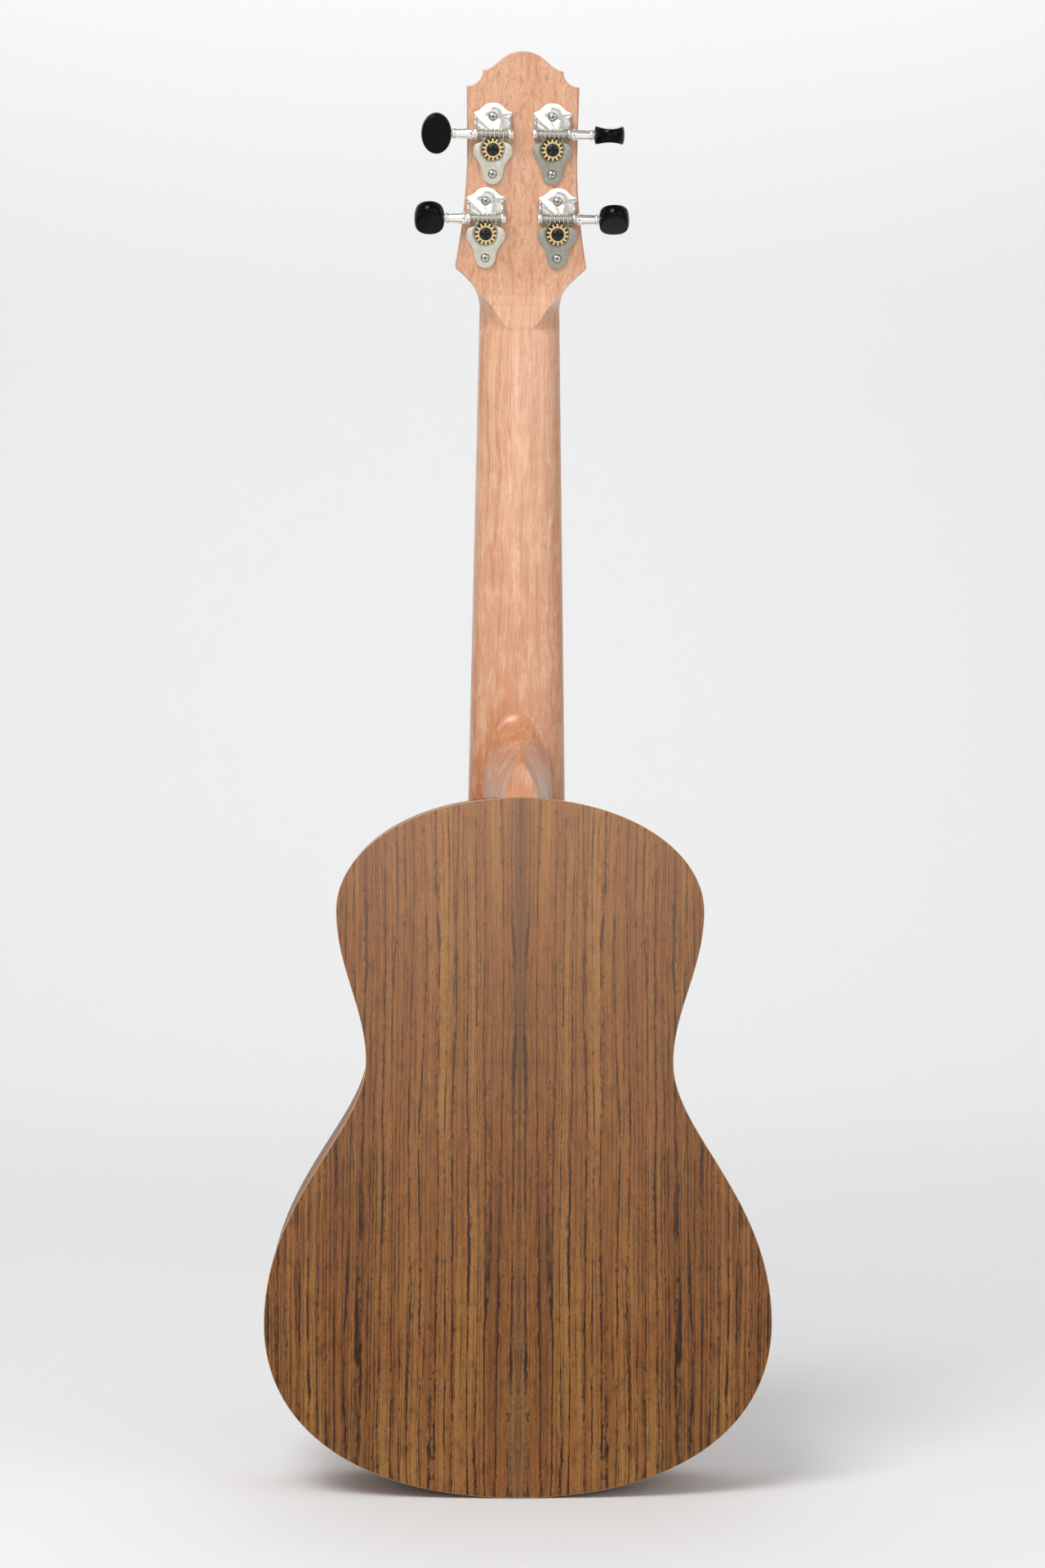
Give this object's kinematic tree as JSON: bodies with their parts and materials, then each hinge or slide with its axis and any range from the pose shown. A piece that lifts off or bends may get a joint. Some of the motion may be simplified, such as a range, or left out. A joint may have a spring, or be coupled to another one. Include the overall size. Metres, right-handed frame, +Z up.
{
  "type": "concert ukulele",
  "caption": "Small waisted string instrument with a round-backed neck, tilted headstock, worm-geared tuning machines, nylon strings and a bookmatched striped body.",
  "frame": {"origin": "lowest point of the body's tail end, on the centre plane, midway through the tail's depth", "axes": "+Z up along the neck, +Y out of the soundboard, +X to the right when seen from the back"},
  "size_m": [0.211, 0.0793, 0.6088],
  "materials": {
    "striped_veneer": "satin lacquered, striped and bookmatched",
    "neck_mahogany": "satin lacquer over open pores",
    "spruce": "bare, fine straight grain",
    "pale_wood": "bare, sanded",
    "dark_hardwood": "oiled, dark brown",
    "inlay": "inlaid ring, lacquered over",
    "bone": "polished off-white",
    "nylon": "clear-white monofilament",
    "nickel": "nickel plated steel, lightly worn",
    "brass": "machined, bright",
    "black_steel": "black oxide",
    "button_black": "polished black"
  },
  "bodies": {
    "ukulele": {"neck": "neck_mahogany", "fretboard": "dark_hardwood", "nut": "bone", "back_plate": "striped_veneer", "soundboard": "striped_veneer", "side_bass": "striped_veneer", "side_treble": "striped_veneer", "neck_block": "pale_wood", "tail_block": "pale_wood", "top_lining": "pale_wood", "back_lining": "pale_wood", "top_brace_upper": "spruce", "top_brace_lower": "spruce", "back_brace_upper": "pale_wood", "back_brace_middle": "pale_wood", "back_brace_lower": "pale_wood", "bridge_plate": "pale_wood", "rosette": "inlay", "bridge": "dark_hardwood", "saddle": "bone", "string_g": "nylon", "string_c": "nylon", "string_e": "nylon", "string_a": "nylon", "tuner_g_baseplate": "nickel", "tuner_g_bushing": "nickel", "tuner_g_screw_upper": "nickel", "tuner_g_screw_lower": "nickel", "tuner_c_baseplate": "nickel", "tuner_c_bushing": "nickel", "tuner_c_screw_upper": "nickel", "tuner_c_screw_lower": "nickel", "tuner_e_baseplate": "nickel", "tuner_e_bushing": "nickel", "tuner_e_screw_upper": "nickel", "tuner_e_screw_lower": "nickel", "tuner_a_baseplate": "nickel", "tuner_a_bushing": "nickel", "tuner_a_screw_upper": "nickel", "tuner_a_screw_lower": "nickel"},
    "tuner_g_drive": {"tuner_g_button": "button_black", "tuner_g_worm_shaft": "nickel"},
    "tuner_g_spindle": {"tuner_g_gear": "brass", "tuner_g_post": "nickel", "tuner_g_gear_screw": "black_steel"},
    "tuner_c_drive": {"tuner_c_button": "button_black", "tuner_c_worm_shaft": "nickel"},
    "tuner_c_spindle": {"tuner_c_gear": "brass", "tuner_c_post": "nickel", "tuner_c_gear_screw": "black_steel"},
    "tuner_e_drive": {"tuner_e_button": "button_black", "tuner_e_worm_shaft": "nickel"},
    "tuner_e_spindle": {"tuner_e_gear": "brass", "tuner_e_post": "nickel", "tuner_e_gear_screw": "black_steel"},
    "tuner_a_drive": {"tuner_a_button": "button_black", "tuner_a_worm_shaft": "nickel"},
    "tuner_a_spindle": {"tuner_a_gear": "brass", "tuner_a_post": "nickel", "tuner_a_gear_screw": "black_steel"}
  },
  "joints": [
    {"name": "tuner_g_button_turn", "type": "hinge", "parent": "ukulele", "child": "tuner_g_drive", "pos_m": [0.0154, 0.00984, 0.53708], "axis": [1, 0, 0], "continuous": true},
    {"name": "tuner_g_post_turn", "type": "hinge", "parent": "ukulele", "child": "tuner_g_spindle", "pos_m": [0.0154, 0.02752, 0.53455], "axis": [0, 0.9744, 0.225], "continuous": true},
    {"name": "tuner_c_button_turn", "type": "hinge", "parent": "ukulele", "child": "tuner_c_drive", "pos_m": [0.0127, 0.00185, 0.57167], "axis": [1, 0, 0], "continuous": true},
    {"name": "tuner_c_post_turn", "type": "hinge", "parent": "ukulele", "child": "tuner_c_spindle", "pos_m": [0.0127, 0.01954, 0.56914], "axis": [0, 0.9744, 0.225], "continuous": true},
    {"name": "tuner_e_button_turn", "type": "hinge", "parent": "ukulele", "child": "tuner_e_drive", "pos_m": [-0.0127, 0.00185, 0.57167], "axis": [1, 0, 0], "continuous": true},
    {"name": "tuner_e_post_turn", "type": "hinge", "parent": "ukulele", "child": "tuner_e_spindle", "pos_m": [-0.0127, 0.01954, 0.56914], "axis": [0, 0.9744, 0.225], "continuous": true},
    {"name": "tuner_a_button_turn", "type": "hinge", "parent": "ukulele", "child": "tuner_a_drive", "pos_m": [-0.0154, 0.00984, 0.53708], "axis": [1, 0, 0], "continuous": true},
    {"name": "tuner_a_post_turn", "type": "hinge", "parent": "ukulele", "child": "tuner_a_spindle", "pos_m": [-0.0154, 0.02752, 0.53455], "axis": [0, 0.9744, 0.225], "continuous": true}
  ],
  "couplings": [
    {"joint": "tuner_g_post_turn", "follows": "tuner_g_button_turn", "ratio": -0.071429},
    {"joint": "tuner_c_post_turn", "follows": "tuner_c_button_turn", "ratio": -0.071429},
    {"joint": "tuner_e_post_turn", "follows": "tuner_e_button_turn", "ratio": -0.071429},
    {"joint": "tuner_a_post_turn", "follows": "tuner_a_button_turn", "ratio": -0.071429}
  ]
}
